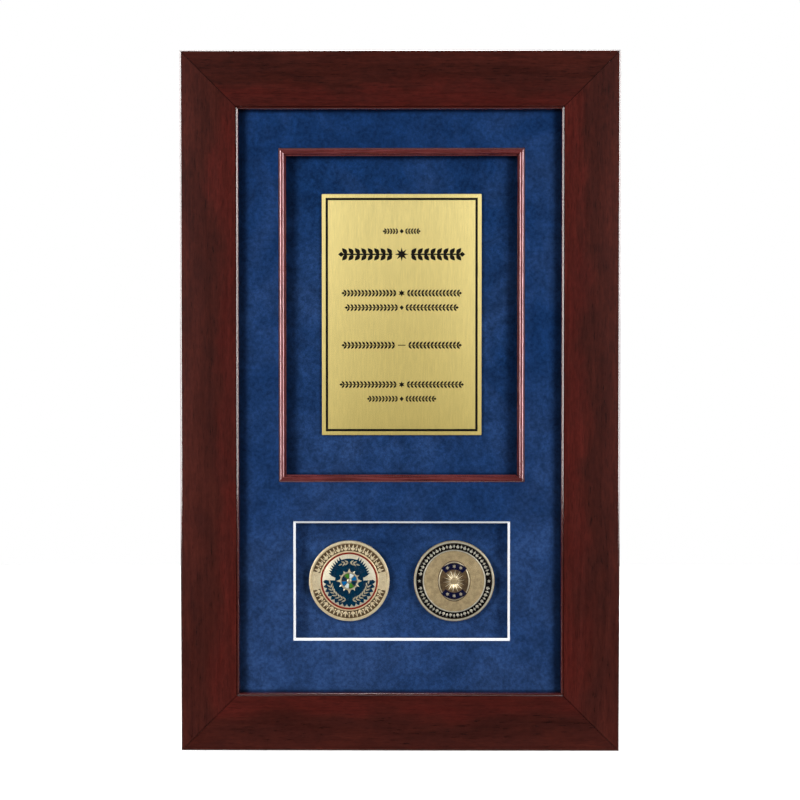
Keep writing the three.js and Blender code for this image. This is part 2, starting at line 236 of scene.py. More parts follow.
def tube(path, radius, sides):
    """A round wire swept along a flat closed path in the X-Z plane."""
    count = len(path)
    verts = []
    faces = []
    up = Vector((0, 1, 0))
    for i, point in enumerate(path):
        along = (path[(i + 1) % count] - path[i - 1]).normalized()
        out = along.cross(up)
        for k in range(sides):
            angle = TURN * k / sides
            verts.append(tuple(point + radius * (math.cos(angle) * out + math.sin(angle) * up)))
    for i in range(count):
        faces += quad_rings(sides, (i + 1) % count * sides, i * sides)
    return verts, faces


def cut_sheet(loops, back, front, bevel):
    """A sheet with holes, from closed loops of (x, z) points, with its edges rounded on both faces."""
    curve = bpy.data.curves.new("sheet", "CURVE")
    curve.dimensions = "2D"
    curve.fill_mode = "BOTH"
    curve.extrude = (back - front) / 2 - bevel
    curve.bevel_depth = bevel
    curve.bevel_resolution = 2
    curve.offset = -bevel
    for loop in loops:
        spline = curve.splines.new("POLY")
        spline.points.add(len(loop) - 1)
        for point, (x, z) in zip(spline.points, loop):
            point.co = (x, z, 0, 1)
        spline.use_cyclic_u = True
    obj = link("sheet", curve)
    graph = bpy.context.evaluated_depsgraph_get()
    mesh = bpy.data.meshes.new_from_object(obj.evaluated_get(graph))
    bpy.data.objects.remove(obj)
    bpy.data.curves.remove(curve)
    mesh.transform(Matrix.Translation((0, (back + front) / 2, 0)) @ Matrix.Rotation(math.pi / 2, 4, "X"))
    shape = bmesh.new()
    shape.from_mesh(mesh)
    bmesh.ops.remove_doubles(shape, verts=shape.verts, dist=2e-6)
    bmesh.ops.recalc_face_normals(shape, faces=shape.faces)
    shape.to_mesh(mesh)
    shape.free()
    mesh.materials.clear()
    return mesh


def boolean(mesh, cutter, operation="DIFFERENCE"):
    """The first mesh with the second cut from it or joined to it. Both are used up."""
    target = link("target", mesh)
    tool = link("tool", cutter)
    modifier = target.modifiers.new("boolean", "BOOLEAN")
    modifier.object = tool
    modifier.operation = operation
    modifier.solver = "EXACT"
    graph = bpy.context.evaluated_depsgraph_get()
    result = bpy.data.meshes.new_from_object(target.evaluated_get(graph))
    bpy.data.objects.remove(target)
    bpy.data.objects.remove(tool)
    bpy.data.meshes.remove(mesh)
    bpy.data.meshes.remove(cutter)
    return result


def one(verts, faces, name="solid"):
    """A mesh of a single solid."""
    solids = Solids()
    solids.add(verts, faces)
    return solids.mesh(name)


def arc(cx, cz, rx, rz, start, end, steps):
    """Points on an ellipse from one angle to another, in degrees."""
    points = []
    for step in range(steps + 1):
        angle = math.radians(start + (end - start) * step / steps)
        points.append((cx + rx * math.cos(angle), cz + rz * math.sin(angle)))
    return points


def oval(half_width, half_height, count=72):
    return arc(0, 0, half_width, half_height, 0, 360, count)[:-1]


def rectangle(left, right, bottom, top, corner=0.0):
    """An anticlockwise rectangle, with round corners if a radius is given."""
    if not corner:
        return [(left, bottom), (right, bottom), (right, top), (left, top)]
    points = []
    for x, z, start in ((right, bottom, -90), (right, top, 0), (left, top, 90), (left, bottom, 180)):
        cx = x - corner if x == right else x + corner
        cz = z - corner if z == top else z + corner
        points += arc(cx, cz, corner, corner, start, start + 90, 5)
    return points


# ---- material nodes ----


def rgb(r, g, b, strength=1.0):
    return (strength * r, strength * g, strength * b, 1.0)


def set_sockets(node, **settings):
    """Sets a node's inputs by name, with underscores for spaces."""
    for socket, value in settings.items():
        node.inputs[socket.replace("_", " ")].default_value = value
    return node


def mix_shaders(tree, factor, first, second, output):
    """Sends a blend of two shaders to an output node's surface."""
    mix = tree.nodes.new("ShaderNodeMixShader")
    for source, socket in zip((factor, first, second), mix.inputs):
        tree.links.new(source, socket)
    tree.links.new(mix.outputs[0], output.inputs["Surface"])


class Look:
    """A node material with a principled shader, and short calls for the nodes that feed it."""

    def __init__(self, name, **settings):
        self.material = bpy.data.materials.new(name)
        self.material.use_nodes = True
        self.tree = self.material.node_tree
        self.shader = set_sockets(self.tree.nodes["Principled BSDF"], **settings)
        self.place = self.node("ShaderNodeTexCoord").outputs["Object"]

    def node(self, kind, inputs=None, **props):
        node = self.tree.nodes.new(kind)
        for key, value in props.items():
            setattr(node, key, value)
        for key, value in (inputs or {}).items():
            self.feed(node.inputs[key], value)
        return node

    def feed(self, socket, value):
        if isinstance(value, bpy.types.NodeSocket):
            self.tree.links.new(value, socket)
        else:
            socket.default_value = value

    def grain(self, along, length):
        """Coordinates squeezed along X or Z, which draws a noise out into a grain that way."""
        scale = (1.0, 1.0, length) if along == "Z" else (length, 1.0, 1.0)
        return self.node("ShaderNodeMapping", {"Vector": self.place, "Scale": scale}).outputs["Vector"]

    def noise(self, scale, detail=3.0, rough=0.55, vector=None, distortion=0.0):
        inputs = {"Vector": vector or self.place, "Scale": scale, "Detail": detail, "Roughness": rough,
                  "Distortion": distortion}
        return self.node("ShaderNodeTexNoise", inputs).outputs["Fac"]

    def spread(self, value, low=0.3, high=0.7, to_low=0.0, to_high=1.0, smooth=True):
        kind = "SMOOTHSTEP" if smooth else "LINEAR"
        inputs = {"Value": value, "From Min": low, "From Max": high, "To Min": to_low, "To Max": to_high}
        return self.node("ShaderNodeMapRange", inputs, interpolation_type=kind).outputs["Result"]

    def maths(self, operation, a, b=0.0, clamp=False):
        node = self.node("ShaderNodeMath", {0: a, 1: b}, operation=operation, use_clamp=clamp)
        return node.outputs[0]

    def distance(self, a, b):
        return self.maths("ABSOLUTE", self.maths("SUBTRACT", a, b))

    def mix(self, factor, a, b, blend="MIX"):
        node = self.node("ShaderNodeMix", data_type="RGBA", blend_type=blend)
        self.feed(node.inputs[0], factor)
        self.feed(node.inputs[6], a)
        self.feed(node.inputs[7], b)
        return node.outputs[2]

    def shade(self, color, amount):
        """A colour darkened or lightened by a plain number."""
        grey = self.node("ShaderNodeCombineColor", {0: amount, 1: amount, 2: amount}).outputs[0]
        return self.mix(1.0, color, grey, "MULTIPLY")

    def vary(self, color, value, dark, light, low=0.3, high=0.7):
        """A colour shaded from dark to light as a value goes from low to high."""
        return self.shade(color, self.spread(value, low, high, dark, light))

    def axes(self):
        node = self.node("ShaderNodeSeparateXYZ", {0: self.place})
        return node.outputs[0], node.outputs[2]

    def bump(self, height, distance, strength, normal=None):
        inputs = {"Height": height, "Distance": distance, "Strength": strength}
        if normal:
            inputs["Normal"] = normal
        return self.node("ShaderNodeBump", inputs).outputs["Normal"]

    def finish(self, color, rough, normal=None):
        self.feed(self.shader.inputs["Base Color"], color)
        self.feed(self.shader.inputs["Roughness"], rough)
        if normal:
            self.feed(self.shader.inputs["Normal"], normal)
        return self.material


def mahogany(name, along, **finish):
    """Dark stained mahogany with its grain along X or Z, redder towards the sight edge; the rails with
    their grain across get a painted shade.
    """
    look = Look(name, **finish)
    x, z = look.axes()
    from_side = look.maths("SUBTRACT", HALF_W, look.maths("ABSOLUTE", x))
    from_end = look.maths("SUBTRACT", HALF_H, look.distance(z, CENTRE_Z))
    # Painted shade: rails with their grain across are painted darker, for the side lamps they catch less
    # of.
    across, cross_rail_painted_shade = (from_side, 1.0) if along == "Z" else (from_end, 0.88)
    figure = look.noise(24.0, 4.0, 0.6, look.grain(along, 0.30), 0.8)
    drift = look.noise(36.0, 5.0, 0.62, look.grain(along, 0.45))
    patches = look.noise(62.0, 4.0, 0.62, look.grain(along, 0.28), 1.0)
    streaks = look.noise(420.0, 3.0, 0.6, look.grain(along, 0.05))
    ticks = look.noise(1250.0, 2.0, 0.6, look.grain(along, 0.09))
    flecks = look.noise(620.0, 2.0, 0.7, look.grain(along, 0.35))
    wander = look.maths("MULTIPLY", look.maths("SUBTRACT", drift, 0.5), 42 * MM)
    across = look.maths("ADD", across, wander)
    patches = look.spread(patches, 0.36, 0.64)
    brown = look.mix(patches, rgb(0.0455, 0.0085, 0.0058, cross_rail_painted_shade), rgb(0.0575, 0.0100, 0.0063, cross_rail_painted_shade))
    red = look.mix(patches, rgb(0.055, 0.0080, 0.0056, cross_rail_painted_shade), rgb(0.067, 0.0080, 0.0055, cross_rail_painted_shade))
    color = look.mix(look.spread(across, 17 * MM, 30 * MM), brown, red)
    rising = look.spread(across, 5 * MM, 12 * MM)
    falling = look.spread(across, 27 * MM, 18 * MM)
    middle = look.maths("MULTIPLY", look.maths("MULTIPLY", rising, falling), 0.20)
    color = look.shade(color, look.maths("SUBTRACT", 1.0, middle))
    color = look.vary(color, figure, 0.91, 1.09)
    color = look.vary(color, streaks, 0.84, 1.16, 0.25, 0.75)
    color = look.vary(color, flecks, 0.86, 1.14)
    color = look.vary(color, ticks, 1.0, 0.62, 0.54, 0.68)
    color = look.vary(color, look.distance(from_side, from_end), 0.62, 1.0, 0.1 * MM, 0.9 * MM)
    rough = look.spread(streaks, 0.3, 0.7, 0.42, 0.55)
    normal = look.bump(ticks, 0.03 * MM, 0.30, look.bump(streaks, 0.05 * MM, 0.20))
    return look.finish(color, rough, normal)


def fillet_wood(name, along):
    """Glossy red-brown stained strip, with a fine grain along it and a warm tint to its shine."""
    look = Look(name, IOR=2.0, Specular_IOR_Level=0.6, Specular_Tint=rgb(1.0, 0.60, 0.64),
                Coat_Weight=0.35, Coat_Roughness=0.1, Coat_IOR=1.6)
    grain = look.noise(900.0, 3.0, 0.6, look.grain(along, 0.04))
    clouds = look.noise(45.0, 2.0)
    color = look.mix(look.spread(grain), rgb(0.105, 0.0180, 0.0170), rgb(0.180, 0.0340, 0.0330))
    color = look.vary(color, clouds, 0.85, 1.15)
    return look.finish(color, look.spread(grain, 0.3, 0.7, 0.24, 0.30), look.bump(grain, 0.02 * MM, 0.2))


def painted_rim_shade(look, x, z, window, side_band, depth):
    """A number that falls from 1 to depth near the edges of a (left, right, bottom, top) window, for
    painting shade into a colour there.
    """
    left, right, bottom, top = window
    end_band = 2 * MM
    from_side = look.maths("SUBTRACT", (right - left) / 2, look.distance(x, (left + right) / 2))
    from_end = look.maths("SUBTRACT", (top - bottom) / 2, look.distance(z, (bottom + top) / 2))
    side = look.spread(from_side, 0.0, side_band, depth, 1.0)
    end = look.spread(from_end, 0.0, end_band, depth, 1.0)
    return look.maths("MULTIPLY", side, end)


def suede(name):
    """Blue suede paper: cloudy brushed nap over fine fibres, lighter and greyer towards the bottom."""
    look = Look(name, Sheen_Weight=0.06, Sheen_Roughness=0.4, Sheen_Tint=rgb(0.45, 0.60, 1.0),
                Specular_IOR_Level=0.06)
    x, z = look.axes()
    clouds = look.noise(13.0, 4.0, 0.6, None, 0.6)
    blotches = look.noise(60.0, 4.0, 0.62, None, 0.9)
    flecks = look.noise(420.0, 3.0, 0.65)
    fibres = look.noise(2400.0, 2.0, 0.6)
    fade = look.spread(z, TOP_Z - FACE, BOTTOM_Z + FACE, 0.05, 0.75, smooth=False)
    fade = look.maths("ADD", fade, look.spread(clouds, 0.28, 0.72, -0.36, 0.36))
    fade = look.maths("ADD", fade, look.spread(x, HALF_W, -HALF_W, -0.10, 0.10, smooth=False), clamp=True)
    color = look.mix(fade, rgb(0.0058, 0.0275, 0.100), rgb(0.0255, 0.0600, 0.168))
    color = look.vary(color, blotches, 0.77, 1.25, 0.28, 0.72)
    color = look.vary(color, flecks, 0.76, 1.26)
    color = look.vary(color, fibres, 0.78, 1.22)
    return look, color, look.bump(flecks, 0.10 * MM, 0.25, look.bump(fibres, 0.06 * MM, 0.5))


def mat_suede():
    """The mat's suede, with painted shade that darkens it along the edges of the sight opening, where the
    frame's lip shades it.
    """
    look, color, normal = suede("blue_suede_mat")
    x, z = look.axes()
    # Painted shade along the sight opening's edges, deepening the lip's shadow.
    color = look.shade(color, painted_rim_shade(look, x, z, SIGHT, 9 * MM, 0.42))
    return look.finish(color, 0.95, normal)


def board_suede():
    """The mount board's suede, with painted shade that darkens it round the edge of the plate window, where
    the fillet shades it.
    """
    look, color, normal = suede("blue_suede_board")
    x, z = look.axes()
    seen = inset_box(PLATE_WINDOW, FILLET_FACE)
    # Painted shade round the plate window, faded out below the window.
    rim = painted_rim_shade(look, x, z, seen, 10 * MM, 0.55)
    seen_bottom = seen[2]
    below = look.spread(z, seen_bottom, seen_bottom - 10 * MM)
    inside = look.maths("SUBTRACT", 1.0, below)
    rim = look.maths("ADD", below, look.maths("MULTIPLY", inside, rim))
    return look.finish(look.shade(color, rim), 0.95, normal)


def inset_box(box, amount):
    left, right, bottom, top = box
    return (left + amount, right - amount, bottom + amount, top - amount)


def brushed_brass():
    """Satin brass brushed up and down in fine even strokes, with painted light: darker towards the bottom
    and lighter towards the top, as the lamps above reflect in it.
    """
    look = Look("brushed_brass", Metallic=0.4)
    _, z = look.axes()
    strokes = look.noise(4200.0, 2.0, 0.6, look.grain("Z", 0.05))
    lines = look.noise(1700.0, 3.0, 0.6, look.grain("Z", 0.06))
    haze = look.noise(16.0, 3.0)
    # Painted shade and highlight: the colour runs from dark at the plate's bottom to light at its top.
    height = look.spread(z, PLATE.low.z, PLATE.high.z, smooth=False)
    rise = look.maths("ADD", height, look.spread(haze, 0.3, 0.7, -0.04, 0.04))
    color = look.mix(rise, rgb(0.590, 0.455, 0.138), rgb(0.880, 0.710, 0.275))
    color = look.vary(color, lines, 0.945, 1.045)
    color = look.vary(color, strokes, 0.955, 1.04, 0.28, 0.72)
    rough = look.spread(strokes, 0.3, 0.7, 0.47, 0.53)
    return look.finish(color, rough, look.bump(strokes, 0.012 * MM, 0.15))


def hardboard():
    """Brown hardboard with the square screen print of its press on the back."""
    look = Look("hardboard", Specular_IOR_Level=0.25)
    x, z = look.axes()
    pitch = 1.3 * MM
    wave_x = look.maths("SINE", look.maths("MULTIPLY", x, TURN / pitch))
    wave_z = look.maths("SINE", look.maths("MULTIPLY", z, TURN / pitch))
    screen = look.maths("MULTIPLY", wave_x, wave_z)
    fibres = look.noise(800.0, 4.0, 0.65)
    clouds = look.noise(22.0, 3.0)
    color = look.mix(look.spread(fibres), rgb(0.105, 0.048, 0.020), rgb(0.190, 0.095, 0.044))
    color = look.vary(color, clouds, 0.82, 1.12)
    color = look.vary(color, screen, 0.86, 1.08, -0.6, 0.6)
    normal = look.bump(screen, 0.12 * MM, 0.5, look.bump(fibres, 0.08 * MM, 0.4))
    return look.finish(color, 0.78, normal)


def metal(name, light, dark, rough, metallic, grain=1600.0, depth=0.02):
    """Plated metal with a mottled tarnish and a fine satin grain."""
    look = Look(name, Metallic=metallic)
    tarnish = look.noise(260.0, 4.0, 0.65)
    satin = look.noise(grain, 2.0, 0.6)
    color = look.mix(look.spread(tarnish, 0.35, 0.7), light, dark)
    color = look.vary(color, satin, 0.92, 1.06)
    return look.finish(color, look.spread(tarnish, 0.3, 0.7, *rough), look.bump(satin, depth * MM, 0.4))


def grained(name, first, second, noise, rough, relief, soft=False, **settings):
    """Two colours mixed by one fine noise, softly or with more contrast, which also gives the relief."""
    look = Look(name, **settings)
    grain = look.noise(*noise)
    color = look.mix(grain if soft else look.spread(grain), first, second)
    if isinstance(rough, tuple):
        rough = look.spread(grain, 0.3, 0.7, *rough)
    depth, strength = relief
    return look.finish(color, rough, look.bump(grain, depth * MM, strength))


def enamel(name, light, dark):
    """Hard enamel: glassy colour with slight pooling."""
    return grained(name, light, dark, (330.0, 3.0), (0.18, 0.30), (0.03, 0.2),
                   Coat_Weight=0.5, Coat_Roughness=0.08)


def glowing_white_core():
    """The mat's white core, cut clean on the bevel, with a faint grain and a painted glow: its emission
    makes it glow though it is no lamp.
    """
    # Painted glow: the emission lights the white core beyond what the lamps give.
    return grained("mat_core_white_painted_glow", rgb(0.93, 0.93, 0.94), rgb(0.985, 0.985, 0.99), (2200.0, 2.0), 0.85,
                   (0.02, 0.2), Specular_IOR_Level=0.2, Emission_Strength=0.24,
                   Emission_Color=rgb(0.90, 0.93, 1.0))


def ink():
    """Black paint-filled engraving, with a slight unevenness."""
    return grained("engraving_black", rgb(0.003, 0.002, 0.001), rgb(0.012, 0.009, 0.006), (1800.0, 2.0),
                   (0.45, 0.65), (0.01, 0.3), soft=True, Specular_IOR_Level=0.1)


def foam_board():
    return grained("foam_board", rgb(0.70, 0.69, 0.66), rgb(0.84, 0.83, 0.80), (1500.0, 2.0), 0.9,
                   (0.08, 0.4), Specular_IOR_Level=0.2)


def tape():
    return grained("adhesive_tape", rgb(0.60, 0.59, 0.52), rgb(0.78, 0.77, 0.70), (700.0, 3.0), 0.7,
                   (0.03, 0.4), soft=True, Specular_IOR_Level=0.3)


def rubber():
    return grained("black_rubber", rgb(0.016, 0.016, 0.017), rgb(0.038, 0.037, 0.036), (1400.0, 3.0),
                   (0.6, 0.8), (0.05, 0.4), soft=True, Specular_IOR_Level=0.35)


def clear_pane():
    """Low-reflection picture glass: a faint clear mirror over a see-through sheet."""
    material = bpy.data.materials.new("clear_pane")
    material.use_nodes = True
    tree = material.node_tree
    tree.nodes.clear()
    clear = set_sockets(tree.nodes.new("ShaderNodeBsdfTransparent"), Color=rgb(0.985, 0.992, 0.992))
    gloss = set_sockets(tree.nodes.new("ShaderNodeBsdfGlossy"), Roughness=0.03)
    fresnel = set_sockets(tree.nodes.new("ShaderNodeFresnel"), IOR=1.12)
    output = tree.nodes.new("ShaderNodeOutputMaterial")
    mix_shaders(tree, fresnel.outputs[0], clear.outputs[0], gloss.outputs[0], output)
    return material


LACQUER = {"Specular_IOR_Level": 0.05, "Coat_Weight": 1.0, "Coat_Roughness": 0.16, "Coat_IOR": 1.5}
POLISH = {"Specular_IOR_Level": 0.05, "Coat_Weight": 1.0, "Coat_Roughness": 0.12, "Coat_IOR": 2.1}
STAIN = {"Specular_IOR_Level": 0.15, "Coat_Weight": 0.15, "Coat_Roughness": 0.4, "Coat_IOR": 1.5}
RAIL_FINISHES = {"lacquered": LACQUER, "polished": POLISH, "stained": STAIN}
RAIL_WOOD = {}
FILLET_WOOD = {}
for direction, word in (("X", "across"), ("Z", "upright")):
    RAIL_WOOD[direction] = [mahogany(f"mahogany_{kind}_{word}", direction, **finish)
                            for kind, finish in RAIL_FINISHES.items()]
    FILLET_WOOD[direction] = fillet_wood(f"fillet_wood_{word}", direction)
MAT_SUEDE = mat_suede()
GLOWING_WHITE_CORE = glowing_white_core()
BRASS = brushed_brass()
INK = ink()
FOAM = foam_board()
TAPE = tape()
STEEL = metal("zinc_steel", rgb(0.56, 0.56, 0.55), rgb(0.40, 0.40, 0.40), (0.30, 0.44), 0.95)
BRIGHT_GOLD = metal("bright_gold", rgb(0.96, 0.80, 0.53), rgb(0.78, 0.61, 0.37), (0.38, 0.50), 0.5)
RIM_GOLD = metal("rim_gold", rgb(0.92, 0.86, 0.72), rgb(0.70, 0.63, 0.50), (0.30, 0.40), 0.7)
CREAM_GOLD = metal("cream_gold", rgb(0.86, 0.78, 0.60), rgb(0.74, 0.65, 0.47), (0.42, 0.54), 0.6)
PATINA = metal("recess_patina", rgb(0.16, 0.095, 0.040), rgb(0.060, 0.032, 0.013), (0.5, 0.65), 0.5,
               grain=900.0, depth=0.06)
ANTIQUE_GOLD = metal("antique_gold", rgb(0.60, 0.455, 0.255), rgb(0.42, 0.310, 0.165), (0.42, 0.56), 0.6)
PALE_GOLD = metal("pale_gold", rgb(0.80, 0.69, 0.49), rgb(0.60, 0.49, 0.32), (0.34, 0.46), 0.7)
TEAL = enamel("teal_enamel", rgb(0.0, 0.030, 0.066), rgb(0.0, 0.019, 0.047))
RED = enamel("red_enamel", rgb(0.30, 0.024, 0.010), rgb(0.20, 0.013, 0.008))
BLACK = enamel("black_enamel", rgb(0.004, 0.003, 0.003), rgb(0.009, 0.006, 0.005))
NAVY = enamel("navy_enamel", rgb(0.005, 0.006, 0.036), rgb(0.003, 0.003, 0.020))
SKY = enamel("sky_enamel", rgb(0.0, 0.16, 0.42), rgb(0.0, 0.11, 0.31))
GREEN = enamel("green_enamel", rgb(0.07, 0.26, 0.03), rgb(0.045, 0.18, 0.02))
WHITE = enamel("white_enamel", rgb(0.72, 0.78, 0.74), rgb(0.60, 0.66, 0.62))


def dress(material, *names):
    """Gives CAD nodes whose shapes stay as they are their finished material."""
    for name in names:
        NODES[name].data.materials.clear()
        NODES[name].data.materials.append(material)


# ---- wood frame ----


def half_round(start, end, y, rise, steps):
    """Points of a half-ellipse in (distance in, depth), rising towards the front."""
    return arc((start + end) / 2, y, -(end - start) / 2, -rise, 0, 180, steps)


def rail_section():
    """The moulding's section, as (distance in from the outer edge, depth behind the face)."""
    arris = 1.3 * MM
    bead = 1.5 * MM
    quirk = 0.3 * MM
    drop = 0.1 * MM
    lip = GLAZING.front - FRONT - 0.1 * MM
    rabbet = 6.5 * MM
    depth = REAR - FRONT
    ease = 0.5 * MM
    return [
        *arc(arris, arris, -arris, -arris, 0, 90, 8),
        (FACE - bead - quirk, 0.0),
        *half_round(FACE - bead, FACE, drop + bead / 2, bead / 2, 14),
        (FACE, lip),
        (FACE - rabbet, lip),
        (FACE - rabbet, depth),
        (ease, depth),
        (0.0, depth - ease),
    ]


def mitred(section, half_length, offset, turn, front, middle):
    """One side of a rectangle, swept from its section, with a fine chamfer round each mitred end."""
    count = len(section)
    slim = inset(section, MITRE_CHAMFER)
    verts = []
    ends = ((-1, slim, 0.0), (-1, section, MITRE_CHAMFER), (1, section, MITRE_CHAMFER), (1, slim, 0.0))
    for end, ring, back in ends:
        shorten = MITRE_GAP / math.sqrt(2) + back
        verts += [(end * (half_length - inward - shorten), y, inward - offset) for inward, y in ring]
    faces = [list(range(count))]
    for k in range(3):
        a, b = k * count, (k + 1) * count
        faces += [[a + i, b + i, b + (i + 1) % count, a + (i + 1) % count] for i in range(count)]
    faces.append(list(range(4 * count - 1, 3 * count - 1, -1)))
    mesh = one(verts, faces)
    mesh.transform(Matrix.Translation((middle[0], front, middle[1])) @ Matrix.Rotation(turn, 4, "Y"))
    return mesh


def sides_of(half_width, half_height):
    return (
        ("bottom", half_width, half_height, 0.0, "X"),
        ("right", half_height, half_width, -math.pi / 2, "Z"),
        ("top", half_width, half_height, math.pi, "X"),
        ("left", half_height, half_width, math.pi / 2, "Z"),
    )


def nail_slots():
    """Corner shapes a little larger than the V-nails' two wings, to cut their slots in the rails."""
    cutters = Solids()
    gauge = 0.8 * MM
    grow = 0.15 * MM
    thick = gauge + grow
    for corner in ("top_left", "top_right", "bottom_left", "bottom_right"):
        for place in ("outer", "inner"):
            nail = Place(f"v_nail_{corner}_{place}")
            sign_x = -1 if nail.centre.x < 0 else 1
            sign_z = 1 if nail.centre.z > CENTRE_Z else -1
            inner_x = nail.high.x if sign_x < 0 else nail.low.x
            inner_z = nail.low.z if sign_z > 0 else nail.high.z
            wing_x, wing_z = nail.size.x + grow, nail.size.z + grow
            wings = [(-grow, -grow), (wing_x, -grow), (wing_x, thick), (thick, thick), (thick, wing_z),
                     (-grow, wing_z)]
            outline = [(inner_x + sign_x * u, inner_z + sign_z * v) for u, v in wings]
            if sign_x * sign_z < 0:
                outline.reverse()
            cutters.add(*prism(outline, REAR + 1 * MM, nail.low.y - grow))
    return cutters.mesh("nail_slots")


def finish_faces(mesh):
    """Lacquer on the flat front, polish on its rounded edges, plain stain on the back and outer sides."""
    lacquered, polished, stained = range(3)
    centre = Vector((0, 0, CENTRE_Z))
    for face in mesh.polygons:
        normal = face.normal
        outward = (face.center - centre).dot(Vector((normal.x, 0, normal.z))) > 0
        if normal.y > 0.5 or abs(normal.y) < 0.05 and outward:
            face.material_index = stained
        elif normal.y < -0.999:
            face.material_index = lacquered
        else:
            face.material_index = polished


def build_rails():
    section = rail_section()
    for side, half_length, offset, turn, along in sides_of(HALF_W, HALF_H):
        solid = mitred(section, half_length, offset, turn, FRONT, (0, CENTRE_Z))
        rail = boolean(solid, nail_slots())
        finish_faces(rail)
        show(f"moulding_{side}", rail, RAIL_WOOD[along], [f"rail_{side}"])


def build_fillet():
    """Four strips with a round crown, a low inner step, and a flange behind the mat."""
    rise = 1.5 * MM
    back = FILLET.size.y
    flange_front = back - 1.5 * MM
    fit = 0.15 * MM
    shoulder = 3.7 * MM
    section = [
        (-FILLET_FLANGE, flange_front),
        (fit, flange_front),
        *half_round(fit, shoulder, rise, rise, 24),
        (shoulder + 0.08 * MM, rise + 0.75 * MM),
        (FILLET_FACE - 0.1 * MM, rise + 0.78 * MM),
        (FILLET_FACE, rise + 0.9 * MM),
        (FILLET_FACE, back),
        (-FILLET_FLANGE, back),
    ]
    left, right, bottom, top = PLATE_WINDOW
    middle = ((left + right) / 2, (top + bottom) / 2)
    for side, half_length, offset, turn, along in sides_of((right - left) / 2, (top - bottom) / 2):
        strip = mitred(section, half_length, offset, turn, FILLET.front, middle)
        show(f"fillet_strip_{side}", strip, [FILLET_WOOD[along]], [f"fillet_{side}"])


# ---- mat and boards ----


def build_mat():
    """The mat is a suede facing bonded to a white core, whose cut edge shows as the coin window's bevel."""
    facing = 0.35 * MM
    nap = 0.12 * MM
    glue = 0.01 * MM
    over = 1 * MM
    slope = 0.8
    fillet_clearance = 0.4 * MM
    outline = rectangle(MAT.low.x, MAT.high.x, MAT.low.z, MAT.high.z)
    loops = [outline, rectangle(*PLATE_WINDOW), rectangle(*COIN_WINDOW)]
    sheet = cut_sheet(loops, MAT.front + facing, MAT.front, nap)
    show("mat_facing", sheet, [MAT_SUEDE], ["window_mat"])
    core_front = MAT.front + facing + glue
    core = one(*prism(outline, MAT.back, core_front))
    behind_fillet = inset(rectangle(*PLATE_WINDOW), -fillet_clearance)
    core = boolean(core, one(*prism(behind_fillet, MAT.back + over, core_front - over)))
    reach = MAT.back - core_front + 2 * over
    wide = inset(rectangle(*COIN_WINDOW), -slope * over)
    narrow = inset(wide, slope * reach)
    verts = [(x, core_front - over + reach, z) for x, z in narrow]
    verts += [(x, core_front - over, z) for x, z in wide]
    faces = [[3, 2, 1, 0], *quad_rings(4, 0, 4), [4, 5, 6, 7]]
    core = boolean(core, one(verts, faces))
    show("mat_core", core, [GLOWING_WHITE_CORE])


def build_boards():
    dress(board_suede(), "mount_board")
    dress(clear_pane(), "glazing")
    spacers = [f"spacer_{side}" for side in ("left", "right", "top", "middle", "bottom")]
    dress(FOAM, "foam_backing", *spacers)
    dress(hardboard(), "backing_board")
    dress(TAPE, "plate_tape", "coin_pad_left", "coin_pad_right")


# ---- ornament outlines, all anticlockwise about their own centre ----


def lozenge(width, height, waist):
    w, h = width / 2, height / 2
    x, z = w * waist, h * waist * 1.6
    return [(w, 0), (x, z), (0, h), (-x, z), (-w, 0), (-x, -z), (0, -h), (x, -z)]


def leaf(length, width):
    """A pointed leaf along +X from its root at the origin."""
    count = 7
    points = []
    for side, steps in ((-1, range(count)), (1, range(count, 0, -1))):
        for k in steps:
            t = k / count
            points.append((length * t, side * width / 2 * math.sin(math.pi * t ** 0.8)))
    return points


def star(points, outer, inner):
    outline = []
    for k in range(2 * points):
        radius = inner if k % 2 else outer
        angle = math.pi / 2 + math.pi * k / points
        outline.append((radius * math.cos(angle), radius * math.sin(angle)))
    return outline


def moved(outline, x, z, turn=0.0):
    c, s = math.cos(turn), math.sin(turn)
    return [(x + px * c - pz * s, z + px * s + pz * c) for px, pz in outline]


def scaled(outline, centre):
    """An outline in millimetres about a centre, in metres."""
    return [(centre[0] + x * MM, centre[1] + z * MM) for x, z in outline]


# ---- engraved plate ----


def vine(width, height, start, heavy=1.0):
    """Two leafy sprays that run outwards from the middle along a stem, each ending in a lozenge."""
    outlines = []
    stem = height * 0.05 * heavy
    for side in (-1, 1):
        root, tip = side * start, side * (width / 2 - height * 0.25)
        low, high = sorted((root, tip))
        outlines.append(rectangle(low, high, -stem, stem))
        count = max(3, round(abs(tip - root) / (height * 0.52)))
        for k in range(count):
            x = root + (tip - root) * (k + 0.1) / count
            for up in (-1, 1):
                turn = up * 0.85 if side > 0 else math.pi - up * 0.85
                shape = leaf(height * 0.62, height * 0.29 * heavy)
                outlines.append(moved(shape, x, up * height * 0.05, turn))
        outlines.append(moved(lozenge(height * 0.5, height * 0.42, 0.4), tip, 0))
    return outlines


def plate_rows():
    """The plate's rows of ornament, as (height above its middle, outlines) in millimetres."""
    dash = rectangle(-2.4, 2.4, -0.28, 0.28)
    small = lozenge(2.6, 3.0, 0.4)
    return (
        (52.5, [small, *vine(24, 3.7, 2.2)]),
        (38.0, [star(8, 4.3, 1.9), *vine(80, 7.6, 5.8, 1.25)]),
        (13.6, [star(6, 2.2, 1.1), *vine(76, 4.4, 3.4)]),
        (4.5, [small, *vine(72, 4.4, 2.4)]),
        (-19.2, [dash, *vine(76, 4.6, 4.2)]),
        (-44.0, [star(6, 2.0, 1.0), *vine(78.6, 4.4, 3.2)]),
        (-53.0, [small, *vine(44, 3.9, 2.4)]),
    )


